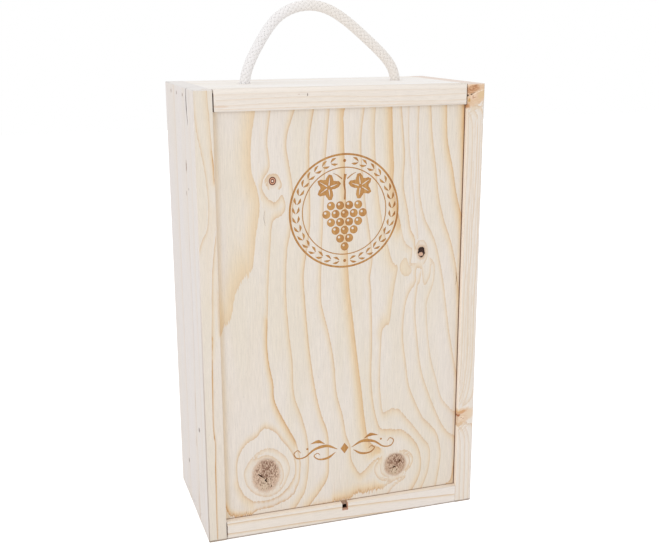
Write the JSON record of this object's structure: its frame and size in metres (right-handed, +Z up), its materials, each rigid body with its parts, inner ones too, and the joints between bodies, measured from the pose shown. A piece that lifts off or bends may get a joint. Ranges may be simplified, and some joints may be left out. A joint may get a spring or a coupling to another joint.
{
  "type": "wooden bottle gift box",
  "caption": "Upright pale softwood gift box for bottles, with a front lid that slides up in grooves and a braided rope handle over the top.",
  "frame": {"origin": "middle of the box's underside", "axes": "+X to the right as one faces the lid, +Y from the lid to the back, +Z up"},
  "size_m": [0.223, 0.117, 0.4066],
  "materials": {
    "side_wood": "raw planed softwood, matt, no varnish",
    "side_wood_right": "raw planed softwood, matt, no varnish",
    "top_wood": "raw planed softwood, matt, no varnish",
    "bottom_wood": "raw planed softwood, matt, no varnish",
    "back_wood": "raw planed softwood, matt, no varnish",
    "lid_wood": "raw planed softwood, matt, no varnish",
    "strip_wood": "raw planed softwood, matt, no varnish",
    "rope": "white braided rope",
    "brad_steel": "plain steel wire, dull"
  },
  "bodies": {
    "box": {"side_panel_left": "side_wood", "side_panel_right": "side_wood_right", "top_board": "top_wood", "bottom_board": "bottom_wood", "back_panel": "back_wood", "rope_handle": "rope", "rope_knot_left": "rope", "rope_knot_right": "rope", "top_brads_left": "brad_steel", "top_brads_right": "brad_steel", "bottom_brads_left": "brad_steel", "bottom_brads_right": "brad_steel"},
    "lid": {"lid_panel": "lid_wood", "lid_head_strip": "strip_wood"}
  },
  "joints": [
    {"name": "lid_slide", "type": "slide", "parent": "box", "child": "lid", "axis": [0, 0, 1], "range_m": [0, 0.335]}
  ]
}
